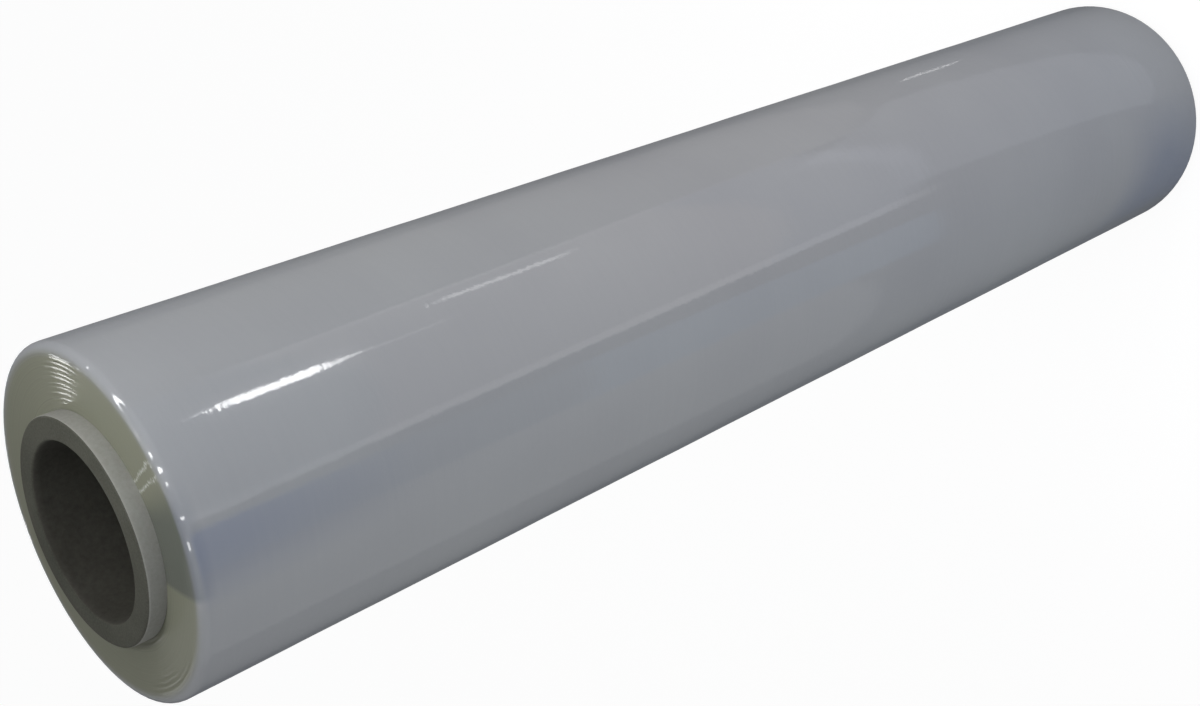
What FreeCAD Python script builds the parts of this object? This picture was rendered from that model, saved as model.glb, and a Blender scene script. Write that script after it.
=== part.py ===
"""Hand roll of pallet stretch film, wound on a spiral cardboard core.

The roll stands on one end of its core. Its axis is +Z, and the origin is the centre of the lower core end.
Sizes are in millimetres.
"""

import FreeCAD, Part

import math
import os

from FreeCAD import Vector

# Film
FILM_WIDTH = 500.0  # from rim to rim, over the outermost turns
FILM_OUTER_DIAMETER = 99.5
RIM_RADIUS = 2.5  # rounding of the outermost turns at each end
FACE_DISH = 1.2  # how far the innermost turns lie behind the rim
BUNDLE_WIDTH = 2.2  # radial width of the bundles of turns that show as rings on the end faces
BUNDLE_RIDGE = 0.1  # height of a bundle's crest over the groove beside it
BUNDLE_WANDER = 0.15  # how far the bundles lie behind the face's even slope, at most

# Core
CORE_BORE_DIAMETER = 50.0
CORE_WALL = 6.75
CORE_OVERHANG = 4.0  # how far the core stands out past the film's rim at each end
CORE_OUTER_ROUND = 0.8  # rounding of the cut end's outer edge
CORE_MOUTH_CHAMFER = 0.6  # where the bore's edge was broken

# Worked out from the sizes above
bore_radius = CORE_BORE_DIAMETER / 2
core_radius = bore_radius + CORE_WALL
core_length = FILM_WIDTH + 2 * CORE_OVERHANG
film_radius = FILM_OUTER_DIAMETER / 2
film_bottom = CORE_OVERHANG
film_top = film_bottom + FILM_WIDTH

# The bundles' unevenness is the mean of two waves that never fall in step: radians from a bundle to the next
WANDER_PHASES = (2.4, 5.1)


def revolved(edges):
    """The solid that a closed outline in the XZ plane sweeps round the Z axis."""
    outline = Part.Face(Part.Wire(edges))
    return outline.revolve(Vector(0, 0, 0), Vector(0, 0, 1), 360)


def lines(points):
    """Straight edges from each point to the next."""
    return [Part.makeLine(a, b) for a, b in zip(points, points[1:])]


def quarter_arc(start, end, centre):
    """The quarter circle from start to end round centre, bulging away from it."""
    radius = (start - centre).Length
    outward = (start - centre) + (end - centre)
    middle = centre + outward.normalize() * radius
    return Part.Arc(start, middle, end).toShape()


def setback(bundle):
    """How far this bundle of turns lies behind the face's even slope, from 0 to BUNDLE_WANDER."""
    waves = [(1 + math.sin(phase * bundle)) / 2 for phase in WANDER_PHASES]
    return BUNDLE_WANDER * sum(waves) / len(waves)


def face_outline(rim_height, outward):
    """The end face's section from the core to the rim, as points.

    Each bundle of turns shows as a ring with a crest, and a groove parts it from the next.
    The face as a whole is dished towards the core. outward is 1 for the upper face and -1 for the lower one.
    """
    inner = core_radius
    outer = film_radius - RIM_RADIUS
    count = max(1, round((outer - inner) / BUNDLE_WIDTH))
    width = (outer - inner) / count

    def point(radius, behind):
        share = (outer - radius) / (outer - inner)
        depth = FACE_DISH * share + behind
        return Vector(radius, 0, rim_height - outward * depth)

    points = [point(inner, 0)]
    for bundle in range(count):
        crest = inner + (bundle + 0.5) * width
        points.append(point(crest, setback(bundle)))
        groove = inner + (bundle + 1) * width
        points.append(point(groove, setback(bundle) + BUNDLE_RIDGE))
    points[-1] = point(outer, 0)
    return points


def film():
    """All the turns of film as one solid: an outer wall, two rounded rims and two ringed end faces."""
    upper_face = face_outline(film_top, 1)
    lower_face = face_outline(film_bottom, -1)
    upper_wall = Vector(film_radius, 0, film_top - RIM_RADIUS)
    lower_wall = Vector(film_radius, 0, film_bottom + RIM_RADIUS)
    upper_centre = Vector(film_radius - RIM_RADIUS, 0, film_top - RIM_RADIUS)
    lower_centre = Vector(film_radius - RIM_RADIUS, 0, film_bottom + RIM_RADIUS)
    edges = lines(upper_face)
    edges.append(quarter_arc(upper_face[-1], upper_wall, upper_centre))
    edges += lines([upper_wall, lower_wall])
    edges.append(quarter_arc(lower_wall, lower_face[-1], lower_centre))
    edges += lines(lower_face[::-1])
    edges += lines([lower_face[0], upper_face[0]])
    return revolved(edges)


def core_end(end, inward):
    """One cut end's section from the bore to the outside: four points, and the centre of the outer edge's arc."""
    mouth = Vector(bore_radius, 0, end + inward * CORE_MOUTH_CHAMFER)
    cut_inner = Vector(bore_radius + CORE_MOUTH_CHAMFER, 0, end)
    cut_outer = Vector(core_radius - CORE_OUTER_ROUND, 0, end)
    side = Vector(core_radius, 0, end + inward * CORE_OUTER_ROUND)
    centre = Vector(cut_outer.x, 0, side.z)
    return mouth, cut_inner, cut_outer, side, centre


def core():
    """The cardboard tube, cut square, with its outer edges rounded and its bore's edges broken."""
    lower_mouth, lower_inner, lower_outer, lower_side, lower_centre = core_end(0, 1)
    upper_mouth, upper_inner, upper_outer, upper_side, upper_centre = core_end(core_length, -1)
    edges = lines([upper_mouth, lower_mouth, lower_inner, lower_outer])
    edges.append(quarter_arc(lower_outer, lower_side, lower_centre))
    edges += lines([lower_side, upper_side])
    edges.append(quarter_arc(upper_side, upper_outer, upper_centre))
    edges += lines([upper_outer, upper_inner, upper_mouth])
    return revolved(edges)


os.makedirs("parts", exist_ok=True)
film().exportStep("parts/film.step")
core().exportStep("parts/core.step")
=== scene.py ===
import math

import bpy
import numpy as np
from mathutils import Matrix, Vector


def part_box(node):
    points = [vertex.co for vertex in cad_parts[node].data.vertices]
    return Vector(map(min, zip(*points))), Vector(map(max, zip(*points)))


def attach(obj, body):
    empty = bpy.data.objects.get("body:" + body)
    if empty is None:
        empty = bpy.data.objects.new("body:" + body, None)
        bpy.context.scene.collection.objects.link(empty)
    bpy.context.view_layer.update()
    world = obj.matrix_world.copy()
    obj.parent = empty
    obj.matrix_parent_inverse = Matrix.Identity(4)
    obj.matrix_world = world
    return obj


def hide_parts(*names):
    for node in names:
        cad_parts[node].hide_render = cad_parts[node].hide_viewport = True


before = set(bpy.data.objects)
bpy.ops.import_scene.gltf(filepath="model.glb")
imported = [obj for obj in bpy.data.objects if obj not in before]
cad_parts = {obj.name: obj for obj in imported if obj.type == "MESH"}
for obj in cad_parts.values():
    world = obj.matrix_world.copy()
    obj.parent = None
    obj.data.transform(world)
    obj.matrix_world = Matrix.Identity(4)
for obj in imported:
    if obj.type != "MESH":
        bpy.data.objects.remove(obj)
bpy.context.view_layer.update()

MM = 0.001


# Wound film
# Clear stretch film, a few hundredths of a millimetre thick, wound tight on the core in a few hundred turns.
# The turns read as one milky grey body with rounded rims. Each turn's edge shows as a fine ring on the end
# faces, and the film's uneven thickness leaves low ridges that run round the roll.

film_low, film_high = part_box("film")
film_radius = film_high.x / MM
film_bottom = film_low.z / MM
film_top = film_high.z / MM
core_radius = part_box("core")[1].x / MM
rim_radius = 2.5
rim_steps = 10
face_dish = 1.2
face_spacing = 0.27  # from one row of corners to the next
face_fade = 0.8  # where the rings fade out at the face's two edges
bundle_count = 7
bundle_ridge = 0.003
bundle_wander = 0.006
bundle_phases = (2.4, 5.1)
turn_spacing = 0.6
turn_unevenness = 0.0007
film_columns = 80
wall_rows = 1060
wall_fade = 1.5  # where the ridges fade out below the rims
gauge_waves = ((95, 0.030), (41, 0.016), (17, 0.006))  # wavelength and height
crease_count = 90
crease_slope = 0.007
crease_lengths = (1.7, 4.5)
crease_lean = 13  # at most, in waves for each turn of the roll
film_dice = np.random.default_rng(23)


def revolve(name, radii, heights, angles):
    """A closed body of revolution: row i of the two grids is one ring, and the last ring joins the first."""
    rows, columns = radii.shape
    corners = np.stack([radii * np.cos(angles), radii * np.sin(angles), heights], axis=-1) * MM
    row, column = np.meshgrid(np.arange(rows), np.arange(columns), indexing="ij")
    next_row = (row + 1) % rows
    next_column = (column + 1) % columns
    quads = np.stack(
        [row * columns + column, row * columns + next_column,
         next_row * columns + next_column, next_row * columns + column], axis=-1)
    mesh = bpy.data.meshes.new(name)
    mesh.vertices.add(rows * columns)
    mesh.vertices.foreach_set("co", corners.ravel())
    mesh.loops.add(quads.size)
    mesh.loops.foreach_set("vertex_index", quads.ravel().astype(np.int32))
    mesh.polygons.add(rows * columns)
    mesh.polygons.foreach_set("loop_start", np.arange(0, quads.size, 4, dtype=np.int32))
    mesh.update(calc_edges=True)
    mesh.validate()
    mesh.polygons.foreach_set("use_smooth", np.ones(rows * columns, dtype=bool))
    piece = bpy.data.objects.new(name, mesh)
    bpy.context.scene.collection.objects.link(piece)
    return piece


def bundle_setback(bundle):
    """How far a bundle of turns lies behind the end face's even slope."""
    waves = [(1 + math.sin(phase * bundle)) / 2 for phase in bundle_phases]
    return bundle_wander * sum(waves) / len(waves)


def face_rows():
    """Radius and depth behind the rim, row by row from the core outwards, of one end face with its rings."""
    outer = film_radius - rim_radius
    radii = np.linspace(core_radius, outer, round((outer - core_radius) / face_spacing) + 1)
    share = (outer - radii) / (outer - core_radius)
    place = (radii - core_radius) / (outer - core_radius) * bundle_count
    bundle = np.minimum(place.astype(int), bundle_count - 1)
    set_back = np.array([bundle_setback(b) for b in bundle])
    groove = bundle_ridge * np.abs(2 * (place - bundle) - 1)
    knots = np.arange(core_radius, outer + 1, turn_spacing)
    turns = np.interp(radii, knots, film_dice.normal(0, turn_unevenness, len(knots)))
    fade = np.clip(np.minimum(radii - core_radius, outer - radii) / face_fade, 0, 1)
    depth = face_dish * share + fade * (set_back + groove + turns)
    return radii, depth


def rounding(middle, radius, steps):
    """Radius and depth of a quarter round that starts level at the radius middle and ends upright."""
    turn = np.linspace(0, math.pi / 2, steps + 1)[1:]
    return middle + radius * np.sin(turn), radius - radius * np.cos(turn)


film_angles = np.linspace(0, 2 * math.pi, film_columns, endpoint=False)
face_radii, upper_depth = face_rows()
_, lower_depth = face_rows()
rim_radii, rim_depth = rounding(film_radius - rim_radius, rim_radius, rim_steps)
wall_heights = np.linspace(film_top - rim_radius, film_bottom + rim_radius, wall_rows)[1:-1]
wall_radii = np.full(len(wall_heights), film_radius)
film_radii = np.concatenate([face_radii, rim_radii, wall_radii, rim_radii[::-1], face_radii[::-1]])
film_heights = np.concatenate([
    film_top - upper_depth, film_top - rim_depth, wall_heights,
    film_bottom + rim_depth[::-1], film_bottom + lower_depth[::-1]])

# Low ridges round the wall: gauge bands centimetres wide, and creases of a few millimetres that come and go
ridges = np.zeros((len(film_radii), film_columns))
for wavelength, ridge_height in gauge_waves:
    phase = film_dice.uniform(0, 2 * math.pi)
    ridges += ridge_height * np.sin(2 * math.pi * film_heights / wavelength + phase)[:, None]
for _ in range(crease_count):
    wavelength = film_dice.uniform(*crease_lengths)
    phase = film_dice.uniform(0, 2 * math.pi)
    lean = film_dice.integers(-crease_lean, crease_lean + 1)
    ridge_height = crease_slope * math.sqrt(2 / crease_count) * wavelength / (2 * math.pi)
    upright = 2 * math.pi * film_heights[:, None] / wavelength
    ridges += ridge_height * np.sin(upright + phase + lean * film_angles)
end_distance = np.minimum(film_top - film_heights, film_heights - film_bottom)
on_wall = np.clip((end_distance - rim_radius) / wall_fade, 0, 1)
film_rings = film_radii[:, None] + ridges * on_wall[:, None]
film_levels = np.repeat(film_heights[:, None], film_columns, axis=1)
film = revolve("wound_film", film_rings[::-1], film_levels[::-1], film_angles)


def bare_material(name):
    """A new material with an empty node tree, and that tree."""
    look = bpy.data.materials.new(name)
    look.use_nodes = True
    look.node_tree.nodes.clear()
    return look, look.node_tree


def node(tree, kind, values=None, **settings):
    """A node of this kind, with its settings, and its input sockets set by name or number."""
    made = tree.nodes.new("ShaderNode" + kind)
    for name, value in settings.items():
        setattr(made, name, value)
    for name, value in (values or {}).items():
        if isinstance(value, bpy.types.NodeSocket):
            tree.links.new(value, made.inputs[name])
        else:
            made.inputs[name].default_value = value
    return made


def worked(tree, operation, *values):
    """What a Math node makes of these values."""
    return node(tree, "Math", dict(enumerate(values)), operation=operation).outputs[0]


def ranged(tree, value, low, high, at_low=0.0, at_high=1.0, curve="LINEAR"):
    """The value mapped so that low gives at_low and high gives at_high, and held there beyond them."""
    sockets = {"Value": value, "From Min": low, "From Max": high, "To Min": at_low, "To Max": at_high}
    return node(tree, "MapRange", sockets, interpolation_type=curve).outputs[0]


def mixed(tree, share, first, second, blend="MIX"):
    """Two colours blended by a share of the second."""
    sockets = {"Fac": share, "Color1": first, "Color2": second}
    return node(tree, "MixRGB", sockets, blend_type=blend).outputs[0]


def shade(tree, amount, low, high, low_colour, high_colour):
    """A colour that goes from one to the other as the amount goes from low to high."""
    ramp = node(tree, "ValToRGB", {"Fac": amount})
    first, last = ramp.color_ramp.elements
    first.position, first.color = low, (*low_colour, 1)
    last.position, last.color = high, (*high_colour, 1)
    return ramp.outputs[0]


def clouds(tree, place, scale, detail, roughness=0.5):
    """Noise from 0 to 1. Scale is its number of grains to the metre, or three numbers for the three axes."""
    scales = scale if isinstance(scale, tuple) else (scale, scale, scale)
    grains = node(tree, "VectorMath", {0: place, 1: scales}, operation="MULTIPLY").outputs[0]
    sockets = {"Vector": grains, "Scale": 1.0, "Detail": detail, "Roughness": roughness}
    return node(tree, "TexNoise", sockets).outputs[0]


def uneven(tree, length, scale, detail, roughness=0.5):
    """Noise along one length, with this many grains to the metre."""
    grains = worked(tree, "MULTIPLY", length, scale)
    sockets = {"W": grains, "Scale": 1.0, "Detail": detail, "Roughness": roughness}
    return node(tree, "TexNoise", sockets, noise_dimensions="1D").outputs[0]


def coordinates(tree):
    """The place on the piece, its three coordinates, and its distance from the roll's axis."""
    place = node(tree, "TexCoord").outputs["Object"]
    axes = node(tree, "SeparateXYZ", {0: place}).outputs
    flat_place = node(tree, "CombineXYZ", {"X": axes["X"], "Y": axes["Y"]}).outputs[0]
    radius = node(tree, "VectorMath", {0: flat_place}, operation="LENGTH").outputs["Value"]
    return place, axes, radius


film_look, tree = bare_material("wound stretch film")
place, axes, radius = coordinates(tree)
on_face = ranged(tree, radius, 0.0490, 0.0455, curve="SMOOTHSTEP")

# Rings of the turns' edges on the end faces, and soft clouds with faint rings on the wall
rings = uneven(tree, radius, 2600.0, 3.0, 0.6)
ring_colour = shade(tree, rings, 0.30, 0.72, (0.197, 0.201, 0.155), (0.218, 0.222, 0.172))
wall_clouds = clouds(tree, place, 14.0, 2.0)
wall_creases = clouds(tree, place, (14.0, 14.0, 700.0), 3.0, 0.55)
wall_shade = mixed(tree, 0.12, wall_clouds, wall_creases)
wall_colour = shade(tree, wall_shade, 0.3, 0.7, (0.256, 0.266, 0.283), (0.287, 0.299, 0.311))
colour = mixed(tree, on_face, wall_colour, ring_colour)

# A sector of the upper end is painted darker and bluer, a painted shade, whose straight edge lies askew, in
# radians from +X
azimuth = worked(tree, "ARCTAN2", axes["Y"], axes["X"])
at_upper_end = ranged(tree, axes["Z"], 0.4990, 0.5020)
past_crease = ranged(tree, azimuth, -1.47, -1.74, curve="SMOOTHSTEP")
skewed = worked(tree, "MULTIPLY_ADD", radius, -5.5, azimuth)
before_edge = ranged(tree, skewed, -2.44, -2.40)
inside_rim = ranged(tree, radius, 0.0500, 0.0482, at_low=0.25)
painted_shade_sector = worked(tree, "MULTIPLY", past_crease, before_edge)
painted_shade_sector = worked(tree, "MULTIPLY", painted_shade_sector, at_upper_end)
painted_shade_sector = worked(tree, "MULTIPLY", painted_shade_sector, inside_rim)
# The painted shade darkens the colour inside the sector
colour = mixed(tree, painted_shade_sector, colour, (0.62, 0.65, 0.72, 1), blend="MULTIPLY")

# Beside it, two creases run across the turns, bent and knotted, raised in the bump, with a painted glint that
# lightens them
bend = clouds(tree, place, 260.0, 1.0)
bent_azimuth = worked(tree, "MULTIPLY_ADD", bend, 0.036, azimuth)
dent = 0.0
for dent_azimuth in (-1.369, -1.457):
    away = worked(tree, "ABSOLUTE", worked(tree, "SUBTRACT", bent_azimuth, dent_azimuth))
    dent = worked(tree, "MAXIMUM", ranged(tree, away, 0.0, 0.036, at_low=1.0, at_high=0.0), dent)
dent_knots = clouds(tree, place, 1300.0, 1.0)
for share in (dent_knots, at_upper_end, on_face):
    dent = worked(tree, "MULTIPLY", dent, share)
# A painted glint lightens the colour along the creases
crease_painted_glint = ranged(tree, dent, 0.25, 0.62, at_high=0.55)
colour = mixed(tree, crease_painted_glint, colour, (0.62, 0.64, 0.60, 1))

# The wall is puckered, and glossy where it is seen square on. On the faces every other turn or so is glossy
puckers = clouds(tree, place, (420.0, 420.0, 950.0), 2.0)
past_rim = ranged(tree, radius, 0.0490, 0.0496)
bumps = worked(tree, "MULTIPLY_ADD", dent, 4.0, worked(tree, "MULTIPLY", puckers, past_rim))
relief = node(tree, "Bump", {"Height": bumps, "Strength": 1.0, "Distance": 0.000028}).outputs[0]
aslant = node(tree, "LayerWeight", {"Blend": 0.5}).outputs["Facing"]
wall_gloss = ranged(tree, aslant, 0.3, 0.85, at_low=1.0, at_high=0.0)
glossy_pitch = 0.0014
drift = worked(tree, "MULTIPLY", uneven(tree, radius, 700.0, 2.0), 4.0)
gloss_wave = worked(tree, "SINE", worked(tree, "MULTIPLY_ADD", radius, 2 * math.pi / glossy_pitch, drift))
face_gloss = ranged(tree, gloss_wave, 0.3, 0.95, at_low=0.01, at_high=0.18)
coat = node(tree, "Mix", {"Factor": on_face, 2: wall_gloss, 3: face_gloss}, data_type="FLOAT").outputs[0]
shader = node(tree, "BsdfPrincipled", {
    "Base Color": colour, "Normal": relief, "Coat Weight": coat, "Coat Normal": relief,
    "Roughness": 0.5, "Specular IOR Level": 0.0, "Coat Roughness": 0.05, "Coat IOR": 1.6})
node(tree, "OutputMaterial", {"Surface": shader.outputs[0]})
film.data.materials.append(film_look)
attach(film, "root")
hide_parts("film")


# Core
# A spiral tube of grey-brown cardboard, wound from many plies and cut square, with a paler ply outside.
# It stands a few millimetres out of the film at each end.

core_low, core_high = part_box("core")
core_bottom = core_low.z / MM
core_top = core_high.z / MM
bore_radius = 25.0
mouth_chamfer = 0.6
outer_round = 0.8
round_steps = 5
cut_steps = 27
ply_thickness = 0.85
ply_step = 0.035
ply_unevenness = 0.02
side_rows = 120
bore_rows = 300
core_columns = 160
core_dice = np.random.default_rng(7)


def cut_rows():
    """Radius and depth of one cut end, from the bore to the outside, with the plies' edges as low steps."""
    mouth_radii = bore_radius + np.array([0, 0.2, 0.4])
    mouth_depth = np.array([mouth_chamfer, 0.33, 0.12])
    flat = np.linspace(bore_radius + mouth_chamfer, core_radius - outer_round, cut_steps)
    waves = ply_step * np.sin(flat * 2 * math.pi / ply_thickness)
    plies = waves + core_dice.normal(0, ply_unevenness, len(flat))
    round_radii, round_depth = rounding(core_radius - outer_round, outer_round, round_steps)
    radii = np.concatenate([mouth_radii, flat, round_radii])
    return radii, np.concatenate([mouth_depth, plies.clip(0), round_depth])


cut_radii, cut_depth = cut_rows()
side_heights = np.linspace(core_top - outer_round, core_bottom + outer_round, side_rows)[1:-1]
bore_heights = np.linspace(core_bottom + mouth_chamfer, core_top - mouth_chamfer, bore_rows)[1:-1]
core_radii = np.concatenate([
    cut_radii, np.full(len(side_heights), core_radius),
    cut_radii[::-1], np.full(len(bore_heights), bore_radius)])
core_heights = np.concatenate([
    core_top - cut_depth, side_heights, core_bottom + cut_depth[::-1], bore_heights])
core_angles = np.linspace(0, 2 * math.pi, core_columns, endpoint=False)
core_rings = np.repeat(core_radii[:, None], core_columns, axis=1)
core_levels = np.repeat(core_heights[:, None], core_columns, axis=1)
core = revolve("core_tube", core_rings[::-1], core_levels[::-1], core_angles)


def fibre_group():
    """The node group of cardboard's look: fibres, and two colours mixed by the fibres and by blotches."""
    group = bpy.data.node_groups.new("cardboard fibres", "ShaderNodeTree")
    for side, socket, kind in (
            ("INPUT", "Dark", "NodeSocketColor"), ("INPUT", "Pale", "NodeSocketColor"),
            ("INPUT", "Fibre Scale", "NodeSocketFloat"),
            ("OUTPUT", "Colour", "NodeSocketColor"), ("OUTPUT", "Fibres", "NodeSocketFloat")):
        group.interface.new_socket(socket, in_out=side, socket_type=kind)
    given = group.nodes.new("NodeGroupInput").outputs
    result = group.nodes.new("NodeGroupOutput").inputs
    place = node(group, "TexCoord").outputs["Object"]
    fibre_noise = {"Vector": place, "Scale": given["Fibre Scale"], "Detail": 5.0, "Roughness": 0.65}
    fibres = node(group, "TexNoise", fibre_noise).outputs[0]
    blotches = clouds(group, place, 60.0, 2.0)
    share = ranged(group, mixed(group, 0.4, fibres, blotches), 0.35, 0.65)
    group.links.new(mixed(group, share, given["Dark"], given["Pale"]), result["Colour"])
    group.links.new(fibres, result["Fibres"])
    return group


def board(name, dark, pale, fibre_scale):
    """Cardboard in two colours, matte, with a fine raised grain."""
    look, tree = bare_material(name)
    sockets = {"Dark": (*dark, 1), "Pale": (*pale, 1), "Fibre Scale": fibre_scale}
    paper = node(tree, "Group", sockets, node_tree=cardboard).outputs
    grain = node(tree, "Bump", {"Height": paper["Fibres"], "Distance": 0.00006}).outputs[0]
    shader = node(tree, "BsdfPrincipled", {
        "Base Color": paper["Colour"], "Normal": grain, "Roughness": 0.9, "Specular IOR Level": 0.05})
    node(tree, "OutputMaterial", {"Surface": shader.outputs[0]})
    return look


cardboard = fibre_group()
outer_ply_depth = 0.12
inner_ply_depth = 0.15
for board_look in (
        board("cut edges of the plies", (0.053, 0.054, 0.044), (0.090, 0.090, 0.074), 1500.0),
        board("pale outer ply", (0.265, 0.265, 0.240), (0.315, 0.315, 0.290), 900.0),
        board("inner ply", (0.050, 0.048, 0.040), (0.072, 0.069, 0.059), 700.0)):
    core.data.materials.append(board_look)
for face in core.data.polygons:
    face_radius = math.hypot(face.center.x, face.center.y) / MM
    if face_radius > core_radius - outer_ply_depth:
        face.material_index = 1
    elif face_radius < bore_radius + inner_ply_depth:
        face.material_index = 2
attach(core, "root")
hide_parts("core")


# Floor
# A pale seamless studio floor that the roll stands on, in a white studio.
# The roll's gloss shows the floor dark blue close by on one side: a painted shade in the floor's glow that
# only gloss rays see.


def sheet(name, corners):
    """A flat sheet with these four corners."""
    mesh = bpy.data.meshes.new(name)
    mesh.from_pydata(corners, [], [(0, 1, 2, 3)])
    piece = bpy.data.objects.new(name, mesh)
    bpy.context.scene.collection.objects.link(piece)
    return piece


def seen_white(tree):
    """1 for the rays that see the studio as white, from the camera, off gloss or through glass.

    The second value is 1 for the rays off gloss.
    """
    rays = node(tree, "LightPath").outputs
    straight = worked(tree, "MAXIMUM", rays["Is Camera Ray"], rays["Is Glossy Ray"])
    return worked(tree, "MAXIMUM", straight, rays["Is Transmission Ray"]), rays["Is Glossy Ray"]


reach = 8.0
white_strength = 1.12
white_share = 0.82  # the rest shows the roll's shadow
floor = sheet("floor", [(-reach, -reach, 0), (reach, -reach, 0), (reach, reach, 0), (-reach, reach, 0)])
floor_look, tree = bare_material("pale floor")
white_rays, glossy_rays = seen_white(tree)
_, floor_axes, from_axis = coordinates(tree)
# Painted shade: the floor's glow turns dark blue beside the roll, for rays off gloss alone
beside = ranged(tree, from_axis, 0.085, 0.065)
shaded_side = ranged(tree, floor_axes["X"], -0.005, -0.045)
painted_shade = worked(tree, "MULTIPLY", worked(tree, "MULTIPLY", beside, shaded_side), glossy_rays)
floor_colour = mixed(tree, painted_shade, (1, 1, 1, 1), (0.10, 0.20, 0.55, 1))
matte = node(tree, "BsdfDiffuse", {"Color": (0.85, 0.85, 0.85, 1)})
white = node(tree, "Emission", {"Color": floor_colour, "Strength": white_strength})
blend = worked(tree, "MULTIPLY", white_rays, white_share)
both = node(tree, "MixShader", {0: blend, 1: matte.outputs[0], 2: white.outputs[0]})
node(tree, "OutputMaterial", {"Surface": both.outputs[0]})
floor.data.materials.append(floor_look)

world = bpy.data.worlds.new("studio")
bpy.context.scene.world = world
world.use_nodes = True
tree = world.node_tree
tree.nodes.clear()
white_rays, _ = seen_white(tree)
soft = node(tree, "Background", {"Color": (0.97, 0.98, 1.0, 1), "Strength": 0.36})
white = node(tree, "Background", {"Color": (1, 1, 1, 1), "Strength": 1.0})
both = node(tree, "MixShader", {0: white_rays, 1: soft.outputs[0], 2: white.outputs[0]})
node(tree, "OutputWorld", {"Surface": both.outputs[0]})


# Lamps
# Soft panels stand round the roll, and their reflections make the long pale bands on the film.
# Narrow lamps make the glints: the streaks on the wall, the arcs on the upper face
# and the sparkle on its rim.


def strip(name, start, end, width, radiance, aim, tint=(1, 1, 1)):
    """A rectangular lamp whose long side runs from start to end and which faces the point aim, in metres."""
    start, end, aim = Vector(start), Vector(end), Vector(aim)
    length = (end - start).length
    lamp = bpy.data.lights.new(name, "AREA")
    lamp.shape = "RECTANGLE"
    lamp.size = width
    lamp.size_y = length
    lamp.energy = radiance * math.pi * width * length
    lamp.color = tint
    piece = bpy.data.objects.new(name, lamp)
    bpy.context.scene.collection.objects.link(piece)
    middle = (start + end) / 2
    along = (end - start).normalized()
    back = middle - aim
    back = (back - back.dot(along) * along).normalized()
    turned = Matrix((along.cross(back), along, back)).transposed().to_4x4()
    piece.matrix_world = Matrix.Translation(middle) @ turned
    piece.visible_camera = False
    return piece


def on_ring(azimuth, distance, height):
    """The point at this azimuth in degrees from +X, distance from the roll's axis and height, in metres."""
    turn = math.radians(azimuth)
    return Vector((distance * math.cos(turn), distance * math.sin(turn), height))


def panel(name, azimuth, distance, low, high, width, radiance, tint=(1, 1, 1)):
    """An upright lamp that faces the roll's axis."""
    foot, head = on_ring(azimuth, distance, low), on_ring(azimuth, distance, high)
    return strip(name, foot, head, width, radiance, (0, 0, (low + high) / 2), tint)


lamp_ring = 0.20
wall_middle = (0, 0, 0.3)
wide_foot = on_ring(-62, lamp_ring, 0.0)
wide_head = on_ring(-81, lamp_ring, 0.65)
for low, high, radiance, tint in (
        (0.0, 0.18, 0.50, (0.79, 0.84, 1.0)),
        (0.18, 0.54, 0.63, (1.0, 0.93, 0.95)),
        (0.54, 1.0, 0.44, (0.85, 0.90, 1.0))):
    start, end = wide_foot.lerp(wide_head, low), wide_foot.lerp(wide_head, high)
    strip("wide_panel", start, end, 0.275, radiance, wall_middle, tint)
strip("edge_strip", on_ring(-96, lamp_ring, 0.0), on_ring(-107, lamp_ring, 0.46), 0.016, 0.37, wall_middle)
upper_foot, upper_head = on_ring(5, lamp_ring, 0.0), on_ring(-13, lamp_ring, 0.6)
strip("upper_panel", upper_foot, upper_head, 0.26, 0.32, wall_middle, (1.0, 0.97, 0.92))
side_lamp = panel("side_lamp", -40.0, 0.40, 0.56, 0.76, 0.20, 1.7, (1.0, 0.98, 0.94))
end_near, end_far, end_aim = on_ring(-56, 0.11, 0.72), on_ring(-56, 0.15, 0.70), on_ring(-56, 0.045, 0.504)
end_lamp = strip("end_lamp", end_near, end_far, 0.04, 2.0, end_aim)
end_lamp.data.spread = math.radians(35)
for low, high, radiance in ((0.0, 0.25, 0.36), (0.25, 0.60, 0.135)):
    panel("wedge_panel", -124.0, lamp_ring, low, high, 0.085, radiance, (0.37, 0.66, 1.0))
panel("lower_panel", -164.0, lamp_ring, 0.05, 0.60, 0.21, 0.27)
high_panel = strip("high_panel", (0.10, -0.15, 1.0), (0.5, -0.6, 1.0), 0.5, 0.69, wall_middle)
foot_start, foot_end, foot_aim = (0.0, -0.14, 0.002), (0.19, -0.11, 0.002), (0.09, -0.12, 0.5)
strip("foot_panel", foot_start, foot_end, 0.14, 0.34, foot_aim, (0.84, 0.89, 1.0))
for lamp in (side_lamp, end_lamp, high_panel):
    lamp.visible_glossy = False

# A dark blue card hangs beside the upper end: a painted dark reflection that glows, fades out below and to
# one side, and shows in the gloss alone
card_out, card_side = on_ring(-124, 0.205, 0.0), on_ring(-34, 1.0, 0.0)
card = sheet("card", [
    card_out + across * card_side + Vector((0, 0, height))
    for across, height in ((-0.14, 0.33), (0.045, 0.33), (0.045, 0.60), (-0.14, 0.60))])
card_look, tree = bare_material("painted dark reflection card")
card_place, card_axes, _ = coordinates(tree)
dotted = node(tree, "VectorMath", {0: card_place, 1: card_side}, operation="DOT_PRODUCT")
card_across = dotted.outputs["Value"]
above_foot = ranged(tree, card_axes["Z"], 0.33, 0.42)
off_side = ranged(tree, card_across, -0.14, 0.0)
off_edge = ranged(tree, card_across, 0.045, 0.035)
solid = worked(tree, "MULTIPLY", worked(tree, "MULTIPLY", above_foot, off_side), off_edge)
clear = node(tree, "BsdfTransparent")
painted_reflection_glow = node(tree, "Emission", {"Color": (0.15, 0.24, 0.69, 1)})
both = node(tree, "MixShader", {0: solid, 1: clear.outputs[0], 2: painted_reflection_glow.outputs[0]})
node(tree, "OutputMaterial", {"Surface": both.outputs[0]})
card.data.materials.append(card_look)
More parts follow.
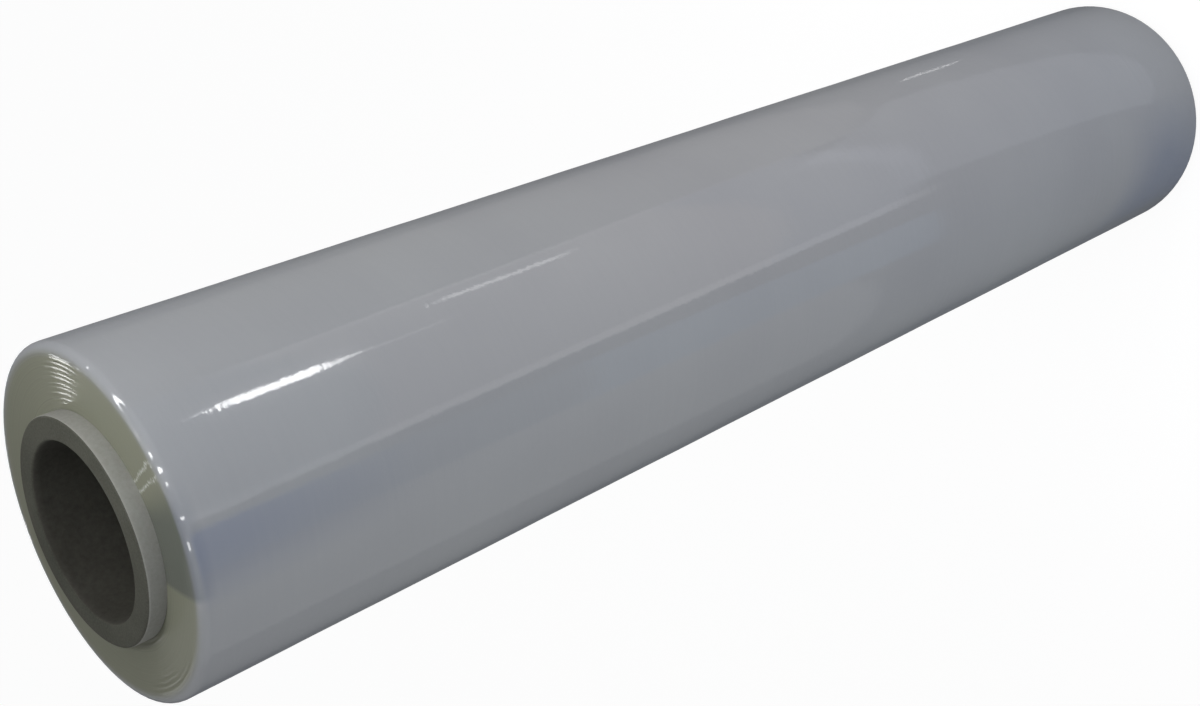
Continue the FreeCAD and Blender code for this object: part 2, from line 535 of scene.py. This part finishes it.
card.visible_camera = False
card.visible_diffuse = False
card.visible_shadow = False

# The glints' lamps show in the gloss alone
upper_end = (0, 0, film_high.z)
camera_place = Vector((-0.010144, -0.400946, 0.657669))
rim_lamp_distance = 0.5


def rim_lamp(azimuth, low_turn, high_turn, width, radiance):
    """A lamp that the camera sees mirrored in the upper rim, between two turns of its rounding in degrees."""
    out = on_ring(azimuth, 1.0, 0.0)
    ends = []
    for turn in (low_turn, high_turn):
        normal = out * math.sin(math.radians(turn)) + Vector((0, 0, math.cos(math.radians(turn))))
        spot = (out * (film_radius - rim_radius) + normal * rim_radius) * MM
        spot.z += (film_top - rim_radius) * MM
        ray = (spot - camera_place).normalized()
        ends.append(spot + rim_lamp_distance * (ray - 2 * ray.dot(normal) * normal))
    return strip("rim_lamp", ends[0], ends[1], width, radiance, spot)


glints = [
    panel("streak_lamp", -57.0, 0.21, 0.357, 0.399, 0.015, 14.0),
    panel("streak_lamp", -57.0, 0.21, 0.351, 0.405, 0.007, 9.0),
    panel("streak_lamp", -57.0, 0.21, 0.340, 0.412, 0.004, 5.0),
    panel("streak_lamp", -57.0, 0.21, 0.300, 0.420, 0.004, 0.8),
    panel("streak_lamp", -57.0, 0.21, 0.345, 0.410, 0.055, 0.3),
    panel("second_streak", -44.0, 0.20, 0.235, 0.304, 0.007, 2.2),
    panel("far_streak", 0.0, 0.12, 0.005, 0.050, 0.003, 6.0),
    strip("dash_lamp", (0.059, 0.6, 0.710), (0.094, 0.6, 0.714), 0.012, 25.0, upper_end),
    strip("thread_lamp", (0.033, 0.6, 0.60), (0.033, 0.6, 0.75), 0.004, 26.0, upper_end),
    strip("thread_lamp", (0.025, 0.6, 0.60), (0.025, 0.6, 0.75), 0.004, 26.0, upper_end),
    strip("face_panel", (-0.006, 0.6, 0.693), (-0.080, 0.6, 0.730), 0.035, 2.0, upper_end)]
for rim_azimuth, low_turn, high_turn, width, radiance in (
        (-44, 38, 50, 0.010, 10.0), (-62, 28, 60, 0.035, 14.0),
        (-72, 16, 30, 0.012, 6.0), (-79, 28, 42, 0.020, 14.0),
        (-84, 34, 56, 0.022, 14.0), (-88, 40, 52, 0.012, 12.0),
        (-98, 44, 66, 0.014, 10.0), (-106, 34, 46, 0.030, 8.0)):
    glints.append(rim_lamp(rim_azimuth, low_turn, high_turn, width, radiance))
for lamp in glints:
    lamp.visible_diffuse = False


# Camera
# The view is the photograph's: from above the upper end, rolled so that the roll lies across the picture.

scene = bpy.context.scene
camera_target = Vector((-0.010144, 0.0, 0.32739))
camera_roll = math.radians(-113.364)
camera_data = bpy.data.cameras.new("camera")
camera_data.sensor_width = 36.0
camera_data.lens = 47.70
camera = bpy.data.objects.new("camera", camera_data)
scene.collection.objects.link(camera)
ahead = (camera_target - camera_place).normalized()
level_right = ahead.cross(Vector((0, 0, 1))).normalized()
level_up = level_right.cross(ahead)
right = math.cos(camera_roll) * level_right + math.sin(camera_roll) * level_up
up = -math.sin(camera_roll) * level_right + math.cos(camera_roll) * level_up
camera_turn = Matrix((right, up, -ahead)).transposed().to_4x4()
camera.matrix_world = Matrix.Translation(camera_place) @ camera_turn
scene.camera = camera
scene.view_settings.view_transform = "Standard"
